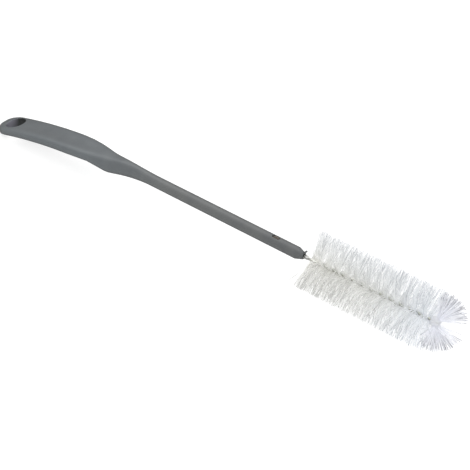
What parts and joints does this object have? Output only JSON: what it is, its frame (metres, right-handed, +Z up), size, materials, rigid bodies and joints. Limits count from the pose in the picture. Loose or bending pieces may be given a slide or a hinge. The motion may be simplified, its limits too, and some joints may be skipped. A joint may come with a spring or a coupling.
{
  "type": "bottle brush",
  "caption": "Bottle brush with a drooping moulded grip, a hang hole, a slim round stem and a twisted-in-wire head of nylon bristles with a round end tuft.",
  "frame": {"origin": "middle of the brush's length, on the plane that it lies on, under the stem's axis", "axes": "+X along the stem from the grip to the tuft, +Z up from the plane that the brush lies on, +Y to the left of the brush as seen from the grip"},
  "size_m": [0.4382, 0.0448, 0.0448],
  "materials": {
    "moulded_plastic": "satin grey moulding",
    "wire": "drawn zinc-coated wire",
    "nylon": "translucent white filament"
  },
  "bodies": {
    "root": {"handle": "moulded_plastic", "core_wire": "wire", "side_bristles": "nylon", "tip_tuft": "nylon"}
  },
  "joints": []
}
